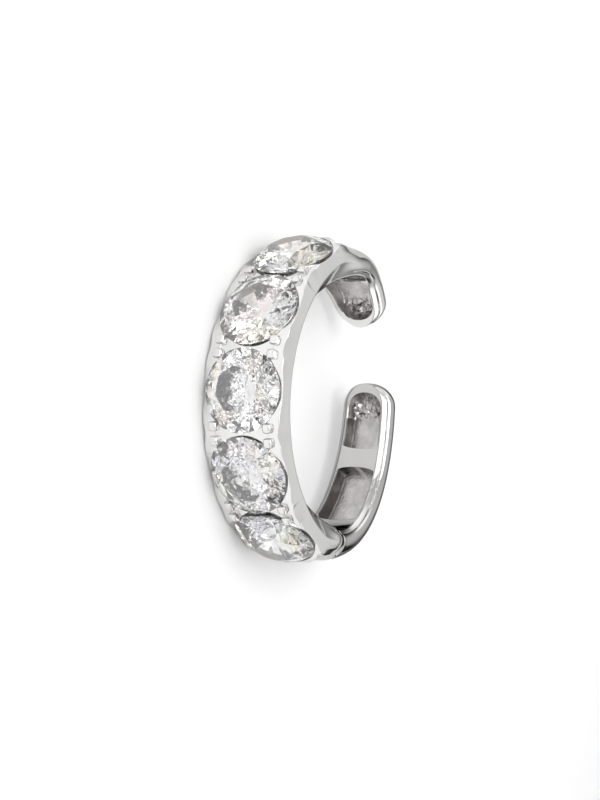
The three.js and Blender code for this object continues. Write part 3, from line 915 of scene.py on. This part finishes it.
# The studio around the object: its brightness by height over the horizon, as the sine of
# the elevation, then soft patches of light or shade. A patch has a direction as azimuth and
# elevation, the angles where it is full and where it has faded out, and its brightness.
SKY = [(-0.05, 1.0), (0.0, 0.35), (0.2, 0.42), (0.45, 0.85), (0.7, 0.8), (1.0, 0.7)]
PATCHES = [
    (0, 68, 14, 34, 1.7),
    (-112, 28, 8, 26, 1.6),
    (112, 30, 8, 26, 1.6),
    (-150, 2, 4, 12, 0.2),
    (90, 8, 10, 22, 0.2),
]
# Small lamps and gaps between them, in front of the object. Each stop is a share of the
# cells and their brightness.
LAMP_CELLS = 26
LAMPS = [(0.0, 0.02), (0.24, 0.12), (0.38, 0.75), (0.7, 1.0), (0.85, 2.5)]
KEY_LIGHT = dict(azimuth=-30, elevation=60, distance=120, size=90, power=0.05)


def direction(azimuth, elevation):
    a, e = math.radians(azimuth), math.radians(elevation)
    return Vector((math.sin(a) * math.cos(e), -math.cos(a) * math.cos(e), math.sin(e)))


def blend_value(tree, factor, low, high):
    node = add(tree, "ShaderNodeMix", {"Factor": factor, "A": low, "B": high}, data_type="FLOAT")
    return node.outputs["Result"]


def make_studio():
    world = bpy.data.worlds.new("studio")
    world.use_nodes = True
    tree = world.node_tree
    tree.nodes.clear()
    look = add(tree, "ShaderNodeTexCoord").outputs["Generated"]
    parts = add(tree, "ShaderNodeSeparateXYZ", {0: look}).outputs
    share = add(tree, "ShaderNodeMapRange", {"Value": parts["Z"], "From Min": -1.0}).outputs["Result"]
    level = ramp(tree, share, [((z + 1) / 2, grey(v)) for z, v in SKY])
    for azimuth, elevation, full, faded, value in PATCHES:
        dot = add(tree, "ShaderNodeVectorMath", {0: look, 1: direction(azimuth, elevation)},
                  operation="DOT_PRODUCT").outputs["Value"]
        edges = [math.cos(math.radians(reach)) for reach in (faded, full)]
        level = blend_value(tree, fade(tree, dot, *edges), level, value)
    cells = add(tree, "ShaderNodeTexVoronoi", {"Vector": look, "Scale": LAMP_CELLS, "Randomness": 1.0})
    pick = add(tree, "ShaderNodeSeparateXYZ", {0: cells.outputs["Color"]}).outputs["X"]
    lamps = ramp(tree, pick, [(share, grey(v)) for share, v in LAMPS])
    front = fade(tree, parts["Y"], -0.05, -0.3)
    raised = fade(tree, parts["Z"], 0.02, 0.12)
    masked = add(tree, "ShaderNodeMath", {0: front, 1: raised}, operation="MULTIPLY").outputs["Value"]
    level = blend_value(tree, masked, level, lamps)
    background = add(tree, "ShaderNodeBackground", {"Color": level, "Strength": 1.0})
    out = add(tree, "ShaderNodeOutputWorld")
    tree.links.new(background.outputs["Background"], out.inputs["Surface"])
    bpy.context.scene.world = world


def area_light(name, azimuth, elevation, distance, size, power):
    data = bpy.data.lights.new(name, "AREA")
    data.energy, data.size = power, size * MM
    lamp = bpy.data.objects.new(name, data)
    bpy.context.scene.collection.objects.link(lamp)
    away = direction(azimuth, elevation)
    lamp.location = away * distance * MM
    lamp.rotation_mode = "QUATERNION"
    lamp.rotation_quaternion = away.to_track_quat("Z", "Y")


# The camera that fits the photograph, in the ring's own frame
VIEW_TILT = math.radians(61)
VIEW_ROLL = math.radians(2)
VIEW_SPIN = math.radians(3)
VIEW_DISTANCE = 70
PIXELS_PER_MM = 25.86
LONG_SIDE = 800
CENTRE_OFFSET = (26, 2.4)


def make_camera():
    back = Vector((0, -math.sin(VIEW_TILT), math.cos(VIEW_TILT)))
    right = Vector((0, math.cos(VIEW_TILT), math.sin(VIEW_TILT)))
    up = Vector((-1, 0, 0))
    right, up = (right * math.cos(VIEW_ROLL) + up * math.sin(VIEW_ROLL),
                 up * math.cos(VIEW_ROLL) - right * math.sin(VIEW_ROLL))
    spin = Matrix.Rotation(VIEW_SPIN, 3, "Z")
    back, right, up = (spin @ v for v in (back, right, up))
    data = bpy.data.cameras.new("camera")
    data.lens = PIXELS_PER_MM * VIEW_DISTANCE / LONG_SIDE * data.sensor_width
    data.shift_x = -CENTRE_OFFSET[0] / LONG_SIDE
    data.shift_y = CENTRE_OFFSET[1] / LONG_SIDE
    data.clip_start, data.clip_end = 1 * MM, 5000 * MM
    camera = bpy.data.objects.new("camera", data)
    bpy.context.scene.collection.objects.link(camera)
    spot = (Vector(RING_CENTRE) + back * VIEW_DISTANCE) * MM
    axes = Matrix((right, up, back)).transposed().to_4x4()
    camera.matrix_world = Matrix.Translation(spot) @ axes
    bpy.context.scene.camera = camera


build_pieces()
make_floor()
make_board()
make_studio()
area_light("key", **KEY_LIGHT)
make_camera()
bpy.context.scene.view_settings.view_transform = "Standard"
